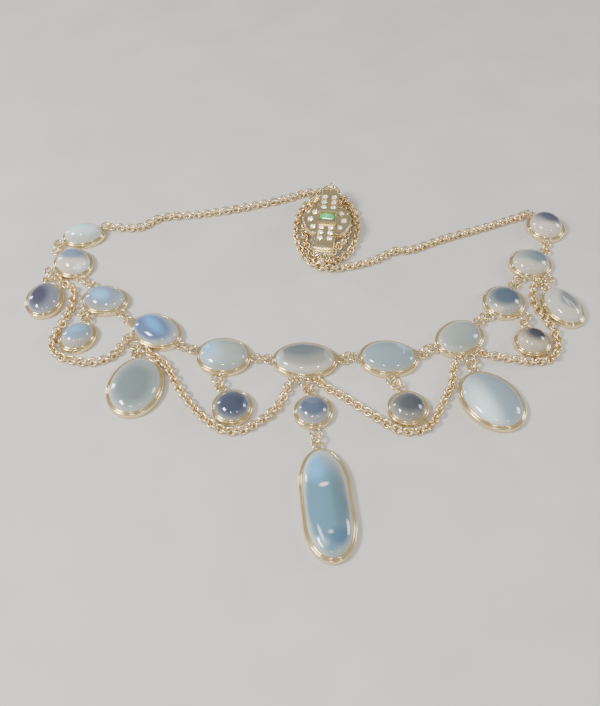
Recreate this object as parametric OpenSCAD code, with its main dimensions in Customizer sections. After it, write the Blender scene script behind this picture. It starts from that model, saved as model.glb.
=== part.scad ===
// Festoon necklace, lying flat: a row of eleven cabochons in plain collets with a
// drop under each of the nine inner ones and a long pendant under the middle, four
// swags of trace chain, and a back chain wound in a double spiral under its clasp.
// The middle of the central collet's back is the origin and +Y points to the clasp.

/* [Collets] */
// Nominal width of a collet in the row
row_w = 9.2; // [8:0.1:11]
// Nominal width of a drop's collet
drop_w = 8.2; // [7:0.1:9.5]
// Length of the long pendant's collet
pendant_l = 23.4; // [18:0.2:28]
// Width of the long pendant's collet
pendant_w = 9.8; // [8:0.1:12]
// Height of a collet's rim
rim_h = 1.5; // [1.4:0.05:2.2]
// Thickness of a collet's wall
wall_t = 0.45; // [0.35:0.05:0.7]
// Thickness of a collet's closed back
back_t = 0.4; // [0.3:0.05:0.6]
// How far the rim leans in over the stone
lip_w = 0.15; // [0.1:0.05:0.3]
// Depth of the leaning rim
lip_h = 0.3; // [0.2:0.05:0.4]

/* [Stones] */
// Rise of a low cabochon above the rim
dome_h = 1.9; // [1:0.1:2.6]
// Clear gap all round a stone
stone_gap = 0.08; // [0.05:0.01:0.15]

/* [Eyes and rings] */
// Diameter of the wire of the soldered eyes and jump rings
wire_d = 0.42; // [0.3:0.02:0.46]
// Outer diameter of an eye between two collets of the row
row_eye_d = 2.32; // [2.2:0.02:2.6]
// Outer diameter of the eye under a collet, which carries a drop
lug_d = 2.52; // [2.4:0.02:2.8]
// Outer diameter of the eye on top of a drop
drop_eye_d = 2.12; // [2:0.02:2.4]
// Outer diameter of the small eyes beside a lug, which carry the swags
small_eye_d = 1.9; // [1.86:0.02:2.1]
// Outer diameter of a jump ring
ring_d = 2.66; // [2.5:0.02:3]
// Height of the eyes above the surface
eye_z = 1; // [0.9:0.05:1.2]
// How deep an eye is let into the wall
bite = 0.2; // [0.1:0.05:0.3]
// Least clear gap between two rings
ring_gap = 0.12; // [0.1:0.01:0.16]

/* [Chain] */
// Outer diameter of a chain link
link_d = 2.1; // [2:0.05:2.2]
// Diameter of a chain link's wire
link_wire_d = 0.4; // [0.3:0.02:0.42]
// Play between two links of the chain
link_gap = 0.15; // [0.12:0.01:0.16]

/* [Wound chain] */
// Sideways place of the wound chain's middle
coil_x = 5.2; // [0:0.2:8]
// Place of the wound chain's middle behind the row
coil_y = 38.8; // [37:0.2:44]
// Width of the wound chain where its outer turns start
coil_w = 16.4; // [16:0.2:20]
// Length of the wound chain where its outer turns start
coil_l = 25.6; // [25:0.2:29]
// Distance from one turn to the next
turn_step = 2; // [1.9:0.05:2.3]

/* [Clasp] */
// Length of the clasp's middle strip
strip_l = 19.6; // [18.6:0.2:21]
// Width of the middle strip
strip_w = 4.4; // [4.2:0.1:5.2]
// Height of the middle strip
strip_h = 2; // [1.8:0.1:2.4]
// Diameter of the round wings
wing_d = 11; // [10.6:0.2:12]
// Length of the wings along the strip
wing_l = 9.4; // [8:0.2:10]
// Height of the wings
wing_h = 1.4; // [1.3:0.1:1.6]
// Diameter of a small white stone
spark_d = 1.2; // [1:0.05:1.3]
// Spacing of the white stones along the strip
spark_step = 1.75; // [1.6:0.05:1.9]
// Length of the green stone
green_l = 3.2; // [2.8:0.1:3.6]
// Width of the green stone
green_w = 1.8; // [1.4:0.1:2]
// Diameter of the bail's wire at the clasp's end
bail_wire_d = 0.7; // [0.5:0.05:0.8]
// Length of the tongue that shows
tongue_l = 1; // [0.8:0.1:2]
// Thickness of the tongue's strip
tongue_t = 0.4; // [0.3:0.05:0.5]
// How far the clasp leans to the right, in degrees
clasp_lean = 6; // [0:1:8]
// Gap under the clasp and round what fits in it
clasp_gap = 0.12; // [0.1:0.01:0.2]

/* [Hidden] */
// Columns of the table of collets. A collet hangs on another one by an eye on each and a
// jump ring between them. LEAVE and ARRIVE are the bearings of the two eyes, each from the
// middle of its own collet, HEAD is the bearing from the first eye to the second, and PULL
// tells how far the ring is pulled taut, from 0 to 1. Bearings are in degrees from +X.
NAME = 0;
KIND = 1;
LENGTH = 2;
WIDTH = 3;
TURN = 4;
NARROW = 5;
STRAIGHT = 6;
RISE = 7;
ON = 8;
LEAVE = 9;
HEAD = 10;
ARRIVE = 11;
PULL = 12;
COLLETS = [
  ["c", "row", 1.46 * row_w, row_w, -1, 0, 0, 1, "", 0, 0, 0, 0],
  ["r1", "row", 1.34 * row_w, row_w, -4, 0.02, 0, 1, "c", 2, 12, 178, 0.1],
  ["r2", "row", 1.22 * row_w, 0.98 * row_w, 33, -0.03, 0, 1, "r1", 8, 33, 205, 1],
  ["r3", "row", row_w, row_w, 0, 0, 0, 1.1, "r2", 45, 36, 225, 1],
  ["r4", "row", 1.04 * row_w, 0.97 * row_w, 0, 0, 0, 1.15, "r3", 60, 51, 235, 1],
  ["r5", "row", 1.02 * row_w, 0.94 * row_w, 115, 0, 0, 1.35, "r4", 45, 76, 260, 0.6],
  ["l1", "row", 1.24 * row_w, 1.03 * row_w, -5, 0, 0, 1, "c", 178, 173, -4, 0.3],
  ["l2", "row", 1.28 * row_w, 0.96 * row_w, -30, 0.03, 0, 1.1, "l1", 165, 159, -35, 0.8],
  ["l3", "row", 1.12 * row_w, 0.9 * row_w, -8, 0.06, 0, 1.05, "l2", 155, 132, -40, 1],
  ["l4", "row", 1.03 * row_w, 0.94 * row_w, -45, 0, 0, 1.25, "l3", 125, 143, -60, 1],
  ["l5", "row", 1.08 * row_w, 0.75 * row_w, 14, 0, 0, 1.35, "l4", 140, 89, 205, 1],
  ["dc", "drop", 0.96 * drop_w, 0.96 * drop_w, 0, 0, 0, 1, "c", 270, -69, 98, 0.1],
  ["dp", "drop", pendant_l, pendant_w, 96, 0.03, 0.3, 1.1, "dc", 275, -87, 98, 1],
  ["dl1", "drop", 1.01 * drop_w, 1.01 * drop_w, 0, 0, 0, 1, "l1", 260, -70, 120, 1],
  ["dl2", "drop", 1.78 * drop_w, 1.39 * drop_w, 80, 0.02, 0, 1.1, "l2", 225, -76, 95, 0.8],
  ["dl3", "drop", 1.03 * drop_w, 0.9 * drop_w, 50, 0, 0, 1.1, "l3", 220, -53, 75, 1],
  ["dl4", "drop", 1.22 * drop_w, 1.01 * drop_w, 88, 0.02, 0, 1, "l4", 205, -94, 95, 1],
  ["dr1", "drop", 1.01 * drop_w, 1.01 * drop_w, 0, 0, 0, 1, "r1", 275, -53, 105, 0.1],
  ["dr2", "drop", 1.87 * drop_w, 1.41 * drop_w, 125, 0, 0, 1, "r2", 285, -88, 110, 1],
  ["dr3", "drop", 0.95 * drop_w, 0.95 * drop_w, 0, 0, 0, 1.2, "r3", 315, -101, 100, 0.1],
  ["dr4", "drop", 1.41 * drop_w, 0.98 * drop_w, 115, 0, 0, 1.15, "r4", 305, -118, 115, 0.4],
];

// Collets whose eye stands on a small pointed plate, by the collet hung there
POINTED = ["r1", "r2"];

// Columns of the table of swags. A swag runs from a small eye on one collet to one on another
// through points chosen as shares of the line between the two eyes: along and across. Each end
// gives the drop beside whose lug the small eye stands, the side, and the first link's bearing.
FROM = 1;
TO = 2;
VIA = 3;
SWAGS = [
  ["swag_lo", ["dl4", 1, -50], ["dl2", -1, 235],
    [[0.13, 0], [0.2, 0.01], [0.27, -0.02], [0.33, -0.08], [0.38, -0.14], [0.42, -0.21],
     [0.46, -0.28], [0.5, -0.37], [0.55, -0.45], [0.62, -0.51], [0.71, -0.53], [0.8, -0.5],
     [0.88, -0.46], [0.95, -0.41], [1.01, -0.34], [1.04, -0.27], [1.05, -0.19]]],
  ["swag_li", ["dl2", 1, -45], ["dc", -1, 240],
    [[0.11, -0.05], [0.17, -0.08], [0.22, -0.13], [0.28, -0.2], [0.34, -0.26], [0.42, -0.33],
     [0.5, -0.39], [0.57, -0.43], [0.64, -0.46], [0.71, -0.47], [0.78, -0.45], [0.84, -0.4],
     [0.9, -0.33], [0.94, -0.26], [0.97, -0.18]]],
  ["swag_ri", ["dc", 1, -45], ["dr2", -1, 240],
    [[0.15, -0.17], [0.23, -0.26], [0.31, -0.35], [0.39, -0.44], [0.46, -0.5],
     [0.54, -0.52], [0.61, -0.52], [0.68, -0.48], [0.74, -0.41], [0.79, -0.34], [0.85, -0.26],
     [0.9, -0.19]]],
  ["swag_ro", ["dr2", 1, -18], ["dr4", -1, 235],
    [[0.12, -0.27], [0.18, -0.38], [0.25, -0.46], [0.34, -0.5], [0.44, -0.48],
     [0.53, -0.43], [0.6, -0.35], [0.65, -0.27], [0.7, -0.18], [0.76, -0.1], [0.83, -0.04]]],
];

// Columns of the table of back chains. Each one runs from a collet's chain eye through points
// chosen as shares of the line to the start of the wound part, starts winding at a bearing
// from the wound chain's middle, and ends at one end of the clasp.
EYE = 1;
WAY = 2;
START = 3;
CLASP_END = 4;
BACK_CHAINS = [
  ["back_chain_l", ["l5", 35],
    [[0.06, -0.03], [0.15, -0.04], [0.26, 0], [0.45, -0.02], [0.65, -0.02], [0.82, -0.01], [0.94, 0.01]],
    100, 1],
  ["back_chain_r", ["r5", 125],
    [[0.08, 0.02], [0.25, 0.01], [0.45, 0.01], [0.62, 0.02], [0.7, 0], [0.8, 0.02], [0.9, 0.02]],
    -80, -1],
];
// How far round a back chain is wound, and the points that a full turn is drawn through
WOUND = 345;
TURN_POINTS = 16;

wire_r = wire_d / 2;
row_eye_r = row_eye_d / 2 - wire_r;
lug_r = lug_d / 2 - wire_r;
drop_eye_r = drop_eye_d / 2 - wire_r;
small_eye_r = small_eye_d / 2 - wire_r;
ring_r = ring_d / 2 - wire_r;
link_wire_r = link_wire_d / 2;
link_r = link_d / 2 - link_wire_r;

// Roll of a ring or link from lying flat, and half its height when rolled so
ROLL = 48;
ring_z = max(eye_z, ring_r * sin(ROLL) + wire_r);
// Further play that a rolled ring needs to pass an eye's round wire
ROLL_PLAY = 0.16;
// The same for a chain's end link, which is rolled more steeply than the other links
LINK_ROLL = 45;
END_ROLL = 65;
LINK_PLAY = 0.05;
chain_z = link_r * sin(LINK_ROLL) + link_wire_r;
// Longest pitch at which two links still pass through each other with their play
link_pitch = 2 * link_r - 2 * link_wire_r - link_gap;
// Distance over which a chain comes down from an eye to the surface
LET_DOWN = 3;
// Steps of the drawn curve between two chosen points
STEPS = 8;
// Distance between two rings of a tube that stands for a chain
TUBE_STEP = 4;

// Steps of the spiral over which a chain climbs to its second layer, and that layer's height
CLIMB = 4;
top_chain_z = 3 * chain_z + clasp_gap;

// The clasp lies on the second layer. Places along it are from its middle.
clasp_z = 4 * chain_z + 2 * clasp_gap;
clasp_y = coil_y - 1;
green_y = 0.2;
green_seat = 0.8;
green_rise = 0.35;
bar_y = 1.55;
bar_w = 0.5;
bar_h = 0.2;
first_row = 3.3;
spark_seat = 0.5;
spark_crown = 0.25;
WING_SPREAD = 38;
wing_stone_r = wing_d / 2 - 1.4 * spark_d;
bail_r = strip_w / 2 - bail_wire_d / 2;
bail_z = strip_h / 2;
slot_w = strip_w - 0.8;
slot_h = 0.9;
slot_z = 0.35;
slot_l = 4;
tongue_w = slot_w - 2 * clasp_gap;
tongue_z = clasp_z + slot_z + clasp_gap;
// Where the ring hangs in the bail, or in the tongue's eye
HANG = 0.25;
function clasp_ring_y(b) =
  b[CLASP_END] > 0
  ? strip_l / 2 + bail_r - HANG
  : -strip_l / 2 - tongue_l - 2 * drop_eye_r - HANG;
function clasp_ring_z(b) = b[CLASP_END] > 0 ? clasp_z + bail_z - HANG : tongue_z + tongue_t - HANG;

// A place on the clasp's middle line, at a distance from its middle
function clasp_line(y) = [coil_x, clasp_y] + y * dir(90 - clasp_lean);

BODY_FN = 64;
RING_FN = 24;
WIRE_FN = 16;
TUBE_SIDES = 8;
GOLD = [0.85, 0.72, 0.46];
WHITE = [0.92, 0.93, 0.92];
MOON = [0.72, 0.8, 0.87];
GREEN = [0.25, 0.75, 0.45];

function dir(b) = [cos(b), sin(b)];
function bearing(v) = atan2(v[1], v[0]);
function collet(name) = COLLETS[search([name], COLLETS)[0]];
function hung_on(name) = [for (s = COLLETS) if (s[ON] == name) s];
function is_in(name, list) = len([for (n = list) if (n == name) n]) > 0;

// NARROW makes one half of the oval longer than the other, as in an egg. STRAIGHT is the
// share of each half that has straight sides before it is rounded off.
function half_length(s, towards) = s[LENGTH] * (0.5 + (towards > 0 ? s[NARROW] : -s[NARROW]));
function straight(s, towards) = s[STRAIGHT] * half_length(s, towards);

// Distance from a collet's middle to its edge at a bearing
function edge(s, b) =
  let (
    along = abs(cos(b - s[TURN])),
    across = abs(sin(b - s[TURN])),
    k = straight(s, cos(b - s[TURN])),
    a = half_length(s, cos(b - s[TURN])) - k,
    w = s[WIDTH] / 2,
    p = (along / a) ^ 2 + (across / w) ^ 2,
    q = along * k / a / a
  )
  w * along < k * across ? w / across : (q + sqrt(q * q + p * (1 - k * k / a / a))) / p;

// Eyes: their radius on the carrying collet and on the hung one, and how far they stand off
function host_r(s) = s[KIND] == "row" ? row_eye_r : lug_r;
function own_r(s) = s[KIND] == "row" ? row_eye_r : drop_eye_r;
function stand_off(r) = r + wire_r - bite;
function apart(s) =
  let (
    least = host_r(s) + own_r(s) + wire_d + ring_gap,
    most = host_r(s) + own_r(s) + 2 * (ring_r - wire_d - ring_gap - ROLL_PLAY)
  )
  least + s[PULL] * (most - least);

function middle(s) =
  s[ON] == "" ? [0, 0] : own_eye(s) - dir(s[ARRIVE]) * (edge(s, s[ARRIVE]) + stand_off(own_r(s)));
function host_eye(s) =
  let (h = collet(s[ON]))
  middle(h) + dir(s[LEAVE]) * (edge(h, s[LEAVE]) + stand_off(host_r(s)));
function own_eye(s) = host_eye(s) + dir(s[HEAD]) * apart(s);
function ring_middle(s) = host_eye(s) + dir(s[HEAD]) * (apart(s) + host_r(s) - own_r(s)) / 2;
function chain_eye(e) =
  let (s = collet(e[0]))
  middle(s) + dir(e[1]) * (edge(s, e[1]) + stand_off(row_eye_r));
function has_chain(name) = [for (b = BACK_CHAINS) if (b[EYE][0] == name) b[EYE]];

// Place at shares along and across the line from p to q
function share(p, q, u) = p + u[0] * (q - p) + u[1] * [-(q - p)[1], (q - p)[0]];

// Smooth curve through chosen points
function knot(p, i) = p[min(max(i, 0), len(p) - 1)];
function blend(a, b, c, d, t) =
  0.5 * (2 * b + (c - a) * t + (2 * a - 5 * b + 4 * c - d) * t * t + (3 * b - a - 3 * c + d) * t * t * t);
function curve(p) = [
  for (i = [0 : len(p) - 2], k = [0 : STEPS - 1])
    blend(knot(p, i - 1), p[i], p[i + 1], knot(p, i + 2), k / STEPS),
  p[len(p) - 1]
];
function runs(p) = [
  for (i = 0, s = 0; i < len(p); s = s + (i + 1 < len(p) ? norm(p[i + 1] - p[i]) : 0), i = i + 1) s
];
function on_curve(p, run, s) =
  let (i = max([for (k = [0 : len(p) - 2]) if (run[k] <= s) k]), span = run[i + 1] - run[i])
  p[i] + (p[i + 1] - p[i]) * (s - run[i]) / span;

function even_points(p, step) =
  let (fine = curve(p), run = runs(fine), all = run[len(run) - 1], n = ceil(all / step))
  [for (i = [0 : n]) on_curve(fine, run, all * min(i / n, 0.999999))];

// Places of the links of a chain along a curve, evenly spaced at no more than the pitch,
// and let down from the eyes at its ends to the surface
function link_places(p) =
  let (flat = even_points(p, link_pitch), n = len(flat) - 1, step = norm(flat[1] - flat[0]))
  [
    for (i = [0 : n])
      let (up = max(0, 1 - min(i, n - i) * step / LET_DOWN))
      [flat[i][0], flat[i][1], chain_z + up * (eye_z - chain_z)]
  ];

// Links are rolled to one side and the other in turn, a little steeper in the eyes at the ends
function link_roll(i, last) =
  (i % 2 == 0 ? 1 : -1) * (i == 0 || i == last ? END_ROLL : LINK_ROLL);

// Distance from an eye's middle to that of the link that hangs in it
function link_hang(eye_r) = eye_r - wire_r - link_wire_r - ring_gap - LINK_PLAY + link_r;

// A swag's small eye stands on the wall beside the lug, soldered to both
function small_eye(end) =
  let (
    s = collet(end[0]),
    h = collet(s[ON]),
    beside = (lug_d + small_eye_d) / 2 + 2 * ring_gap,
    b = s[LEAVE] + end[1] * 2 * asin(beside / 2 / (edge(h, s[LEAVE]) + small_eye_r))
  )
  middle(h) + dir(b) * (edge(h, b) + stand_off(small_eye_r));
function swag_points(w) =
  let (a = small_eye(w[FROM]), b = small_eye(w[TO]), hang = link_hang(small_eye_r))
  concat(
    [for (k = [0, 1]) a + dir(w[FROM][2]) * (hang + k * link_pitch)],
    [for (u = w[VIA]) share(a, b, u)],
    [for (k = [1, 0]) b + dir(w[TO][2]) * (hang + k * link_pitch)]
  );

// The outline of a collet or its stone, grown by an amount
module outline(s, grow) {
  c = s[WIDTH] / 2 + grow;
  far = s[LENGTH] + s[WIDTH];
  for (side = [1, -1])
    translate([side * straight(s, side), 0])
      intersection() {
        scale([half_length(s, side) - straight(s, side) + grow, c]) circle(r = 1, $fn = BODY_FN);
        translate([side > 0 ? 0 : -far, -far]) square([far, 2 * far]);
      }
  if (s[STRAIGHT] > 0)
    translate([-straight(s, -1), -c]) square([straight(s, 1) + straight(s, -1), 2 * c]);
}

module placed(s) {
  m = middle(s);
  translate([m[0], m[1], 0])
    rotate(s[TURN])
      children();
}

module ring_solid(r, wire) {
  rotate_extrude($fn = RING_FN)
    translate([r, 0])
      circle(r = wire, $fn = WIRE_FN);
}

// A ring rolled about its own run
module rolled(place, z, run, roll) {
  translate([place[0], place[1], z])
    rotate(run)
      rotate([roll, 0, 0])
        children();
}

module flat_eye(place, r) {
  translate([place[0], place[1], eye_z])
    ring_solid(r, wire_r);
}

// The pointed plate between a collet and its eye
module point_plate(s) {
  h = collet(s[ON]);
  m = middle(h);
  reach = edge(h, s[LEAVE]);
  foot = 0.17 * h[WIDTH];
  translate([m[0], m[1], eye_z - wire_r])
    rotate(s[LEAVE])
      linear_extrude(wire_d)
        polygon([
          [reach - bite, -foot],
          [reach + wire_d, -wire_d],
          [reach + wire_d, wire_d],
          [reach - bite, foot],
        ]);
}

module setting(s) {
  color(GOLD) {
    placed(s)
      difference() {
        linear_extrude(rim_h) outline(s, 0);
        translate([0, 0, back_t])
          linear_extrude(rim_h - lip_h - back_t) outline(s, -wall_t);
        translate([0, 0, back_t + lip_h])
          linear_extrude(rim_h) outline(s, -wall_t - lip_w);
      }
    if (s[ON] != "") flat_eye(own_eye(s), own_r(s));
    for (h = hung_on(s[NAME])) {
      flat_eye(host_eye(h), host_r(h));
      if (is_in(h[NAME], POINTED)) point_plate(h);
      for (w = SWAGS, end = [w[FROM], w[TO]])
        if (end[0] == h[NAME]) flat_eye(small_eye(end), small_eye_r);
    }
    for (e = has_chain(s[NAME])) flat_eye(chain_eye(e), row_eye_r);
  }
}

// A cabochon: a girdle held under the leaning rim and a dome that rises through it
module stone(s) {
  rise = dome_h * s[RISE];
  half_l = s[LENGTH] / 2 - wall_t - lip_w - stone_gap;
  half_w = s[WIDTH] / 2 - wall_t - lip_w - stone_gap;
  long_r = (half_l * half_l + rise * rise) / (2 * rise);
  cross_r = (half_w * half_w + rise * rise) / (2 * rise);
  foot = rim_h - lip_h - stone_gap;
  shift = s[LENGTH] * s[NARROW];
  color(MOON)
    placed(s) {
      translate([0, 0, back_t + stone_gap])
        linear_extrude(foot - back_t - stone_gap) outline(s, -wall_t - stone_gap);
      intersection() {
        translate([0, 0, foot - stone_gap])
          linear_extrude(2 * rise + rim_h) outline(s, -wall_t - lip_w - stone_gap);
        translate([shift, 0, rim_h - long_r + rise])
          rotate([90, 0, 0])
            rotate_extrude($fn = 2 * BODY_FN)
              intersection() {
                translate([long_r - cross_r, 0]) circle(r = cross_r, $fn = 2 * BODY_FN);
                translate([0, -cross_r]) square([long_r + 1, 2 * cross_r]);
              }
      }
    }
}

module joint_rings(kind) {
  color(GOLD)
    for (s = COLLETS)
      if (s[ON] != "" && s[KIND] == kind)
        rolled(ring_middle(s), ring_z, s[HEAD], ROLL)
          ring_solid(ring_r, wire_r);
}

module swag(w) {
  p = link_places(swag_points(w));
  last = len(p) - 1;
  color(GOLD)
    for (i = [0 : last]) {
      along = p[min(i + 1, last)] - p[max(i - 1, 0)];
      translate(p[i])
        rotate([0, -atan2(along[2], norm([along[0], along[1]])), bearing(along)])
          rotate([link_roll(i, last), 0, 0])
            ring_solid(link_r, link_wire_r);
    }
}

// Where a back chain's first link hangs in its collet's eye
function first_link(b) =
  let (eye = chain_eye(b[EYE]), to = share(eye, spiral(b[START])[0], b[WAY][0]))
  eye + dir(bearing(to - eye)) * link_hang(row_eye_r);

// The wound part of a back chain: an oval spiral that closes in by a step each half turn
// and climbs, at its end, over the other chain's last turn
function spiral(start) = [
  for (k = [0 : TURN_POINTS * WOUND / 360])
    let (t = 360 * k / TURN_POINTS, b = start - t, inward = turn_step * t / 180)
    [
      coil_x + (coil_w / 2 - inward) * cos(b),
      coil_y + (coil_l / 2 - inward) * sin(b)
    ]
];

// All the points of a back chain's tube, with their heights
function tube_points(b) =
  let (
    wound = spiral(b[START]),
    n = len(wound) - 1,
    first = first_link(b),
    way = [for (u = b[WAY]) share(chain_eye(b[EYE]), wound[0], u)],
    head = first + dir(bearing(way[0] - first)) * (link_r + link_wire_r + ring_gap),
    open_run = even_points(concat([head], [for (i = [1 : len(way) - 1]) way[i]], [wound[0]]), TUBE_STEP)
  )
  concat(
    [for (q = open_run) [q[0], q[1], chain_z]],
    [
      for (i = [1 : n])
        let (climb = max(0, i - n + CLIMB) / CLIMB)
        [wound[i][0], wound[i][1], chain_z + climb * (top_chain_z - chain_z)]
    ],
    [concat(clasp_line(clasp_ring_y(b) - b[CLASP_END] * (ring_r + wire_r + ring_gap)), top_chain_z)]
  );

// A many-sided tube with a ring at each of its points
module tube(spots, thick) {
  n = len(spots) - 1;
  points = [
    for (i = [0 : n])
      let (
        t = spots[min(i + 1, n)] - spots[max(i - 1, 0)],
        side = [-t[1], t[0], 0] / norm([t[0], t[1]]),
        up = cross(t, side) / norm(t)
      )
      for (k = [0 : TUBE_SIDES - 1])
        let (a = 360 * (k + 0.5) / TUBE_SIDES)
        spots[i] + thick / 2 * (cos(a) * side + sin(a) * up)
  ];
  sides = [
    for (i = [0 : n - 1], k = [0 : TUBE_SIDES - 1])
      let (j = (k + 1) % TUBE_SIDES, a = i * TUBE_SIDES)
      [a + k, a + j, a + j + TUBE_SIDES, a + k + TUBE_SIDES]
  ];
  ends = [
    [for (k = [TUBE_SIDES - 1 : -1 : 0]) k],
    [for (k = [0 : TUBE_SIDES - 1]) n * TUBE_SIDES + k]
  ];
  color(GOLD) polyhedron(concat(points), concat(sides, ends));
}

// The rings that hold the back chains: one in each chain eye and one at each clasp end
module chain_rings() {
  color(GOLD)
    for (b = BACK_CHAINS) {
      eye = chain_eye(b[EYE]);
      first = first_link(b);
      rolled(first, eye_z, bearing(first - eye), END_ROLL) ring_solid(link_r, link_wire_r);
      rolled(clasp_line(clasp_ring_y(b)), clasp_ring_z(b), 90 - clasp_lean, 90) ring_solid(ring_r, wire_r);
    }
}

module on_clasp() {
  translate([coil_x, clasp_y, clasp_z])
    rotate(-clasp_lean)
      children();
}

// A pocket for a white stone, and the stone: a table, eight crown facets, a girdle and
// eight pavilion facets
module spark_pocket() {
  translate([0, 0, -spark_seat]) cylinder(d = spark_d + 2 * stone_gap, h = spark_d, $fn = RING_FN);
}

module spark() {
  translate([0, 0, stone_gap - spark_seat])
    cylinder(d1 = 0.3 * spark_d, d2 = spark_d, h = spark_seat - stone_gap, $fn = 8);
  cylinder(d1 = spark_d, d2 = 0.56 * spark_d, h = spark_crown, $fn = 8);
}

module at_sparks() {
  for (across = [1, -1]) {
    for (along = [1, -1], k = [0 : 2])
      translate([across * strip_w / 4, green_y + along * (first_row + k * spark_step), strip_h])
        children();
    for (b = [-WING_SPREAD, 0, WING_SPREAD])
      translate([across * wing_stone_r * cos(b), wing_stone_r * sin(b), wing_h])
        children();
  }
}

module clasp_body() {
  color(GOLD)
    on_clasp() {
      difference() {
        union() {
          translate([-strip_w / 2, -strip_l / 2, 0]) cube([strip_w, strip_l, strip_h]);
          intersection() {
            cylinder(d = wing_d, h = wing_h, $fn = BODY_FN);
            translate([-wing_d, -wing_l / 2, 0]) cube([2 * wing_d, wing_l, wing_h]);
          }
          // Two raised bars across the strip, on either side of the green stone
          for (side = [1, -1])
            translate([-strip_w / 2, green_y + side * bar_y - bar_w / 2, 0])
              cube([strip_w, bar_w, strip_h + bar_h]);
        }
        at_sparks() spark_pocket();
        translate([-green_l / 2 - stone_gap, green_y - green_w / 2 - stone_gap, strip_h - green_seat])
          cube([green_l + 2 * stone_gap, green_w + 2 * stone_gap, strip_h]);
        // Slot for the tongue
        translate([-slot_w / 2, -strip_l / 2 - 1, slot_z])
          cube([slot_w, slot_l + 1, slot_h]);
      }
      bail();
    }
}

// The round bail at the clasp's far end, with its two legs let into the strip
module bail() {
  r = bail_r;
  translate([0, strip_l / 2, bail_z]) {
    rotate_extrude(angle = 180, $fn = 2 * RING_FN)
      translate([r, 0])
        circle(r = bail_wire_d / 2, $fn = WIRE_FN);
    for (side = [1, -1])
      translate([side * r, 0, 0])
        rotate([90, 0, 0])
          cylinder(d = bail_wire_d, h = bail_wire_d, $fn = WIRE_FN);
  }
}

// The folded tongue: two leaves that meet in the slot, and the eye at its outer end
module clasp_tongue() {
  long = slot_l - clasp_gap + tongue_l;
  color(GOLD)
    on_clasp()
      translate([0, -strip_l / 2 - tongue_l, slot_z + clasp_gap]) {
        translate([-tongue_w / 2, 0, 0])
          rotate([90, 0, 90])
            linear_extrude(tongue_w)
              polygon([
                [0, 0],
                [long, 0],
                [long, tongue_t],
                [tongue_l, slot_h - 2 * clasp_gap],
                [0, slot_h - 2 * clasp_gap],
              ]);
        translate([0, -drop_eye_r, tongue_t]) ring_solid(drop_eye_r, wire_r);
      }
}

// The green stone: step cut, with a table, eight crown facets and an eight-sided girdle
module clasp_green() {
  color(GREEN)
    on_clasp()
      translate([0, green_y, strip_h - green_seat + stone_gap]) {
        hull() {
          linear_extrude(green_seat) green_outline(0);
          linear_extrude(green_seat + green_rise) green_outline(-green_w / 5);
        }
      }
}

module green_outline(grow) {
  a = green_l / 2 + grow;
  c = green_w / 2 + grow;
  cut = green_w / 4;
  polygon([
    [a, c - cut], [a - cut, c], [cut - a, c], [-a, c - cut],
    [-a, cut - c], [cut - a, -c], [a - cut, -c], [a, cut - c],
  ]);
}

module clasp_white() {
  color(WHITE)
    on_clasp()
      at_sparks() spark();
}

for (s = COLLETS) setting(s);
for (s = COLLETS) stone(s);
joint_rings("row");  // row_rings
joint_rings("drop");  // drop_rings
for (w = SWAGS) swag(w);
for (b = BACK_CHAINS) tube(tube_points(b), 2 * chain_z);
chain_rings();
clasp_body();
clasp_tongue();
clasp_green();
clasp_white();
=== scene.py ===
import math
import random
from collections import namedtuple

import bmesh
import bpy
from mathutils import Matrix, Vector, noise


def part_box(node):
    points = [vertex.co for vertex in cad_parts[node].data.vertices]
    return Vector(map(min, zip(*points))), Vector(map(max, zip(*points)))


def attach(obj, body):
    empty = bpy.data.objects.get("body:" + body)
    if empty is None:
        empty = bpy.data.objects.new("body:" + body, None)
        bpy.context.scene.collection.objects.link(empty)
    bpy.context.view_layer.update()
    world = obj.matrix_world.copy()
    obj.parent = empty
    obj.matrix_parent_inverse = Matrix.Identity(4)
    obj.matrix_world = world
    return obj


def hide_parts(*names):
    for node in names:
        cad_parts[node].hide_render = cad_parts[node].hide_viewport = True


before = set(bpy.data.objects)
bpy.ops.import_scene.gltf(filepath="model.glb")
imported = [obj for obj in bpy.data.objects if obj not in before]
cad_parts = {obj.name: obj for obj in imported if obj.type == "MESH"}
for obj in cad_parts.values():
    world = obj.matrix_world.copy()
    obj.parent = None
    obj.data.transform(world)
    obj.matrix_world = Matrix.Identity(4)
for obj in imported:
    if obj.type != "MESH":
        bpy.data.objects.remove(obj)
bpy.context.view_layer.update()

# Camera. The necklace lies on a table and is seen from its front, 52 degrees above the
# surface, with a lens of middling length. Lengths are in millimetres all through, and each
# piece is brought to metres when it is finished.
MM = 0.001
VIEW_ANGLE = 52
PICTURE_H = 706
FOCAL_PX = 860
CAMERA_H = 141.2
AIM = Vector((-1.03, 2.61, 0))

eye_back = CAMERA_H / math.tan(math.radians(VIEW_ANGLE))
camera_data = bpy.data.cameras.new("camera")
camera_data.sensor_width = 36
camera_data.lens = 36 * FOCAL_PX / PICTURE_H
camera_data.clip_start = 0.005
camera = bpy.data.objects.new("camera", camera_data)
camera.location = (AIM + Vector((0, -eye_back, CAMERA_H))) * MM
camera.rotation_euler = (math.radians(90 - VIEW_ANGLE), 0, 0)
bpy.context.scene.collection.objects.link(camera)
bpy.context.scene.camera = camera


# Table top and lights. A plain pale surface in a softly lit room. A key light on the left
# and a bright strip behind it shape the metal, and two small lamps in front give the stones
# their bright points.
def colour(r, g, b):
    """A colour given as it is seen, from 0 to 255, in the shader's linear values."""
    return tuple((c / 255) ** 2.2 for c in (r, g, b)) + (1,)


def new_material(name, **sockets):
    made = bpy.data.materials.new(name)
    made.use_nodes = True
    shader = made.node_tree.nodes["Principled BSDF"]
    for socket, value in sockets.items():
        shader.inputs[socket.replace("_", " ")].default_value = value
    return made, made.node_tree, shader


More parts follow.
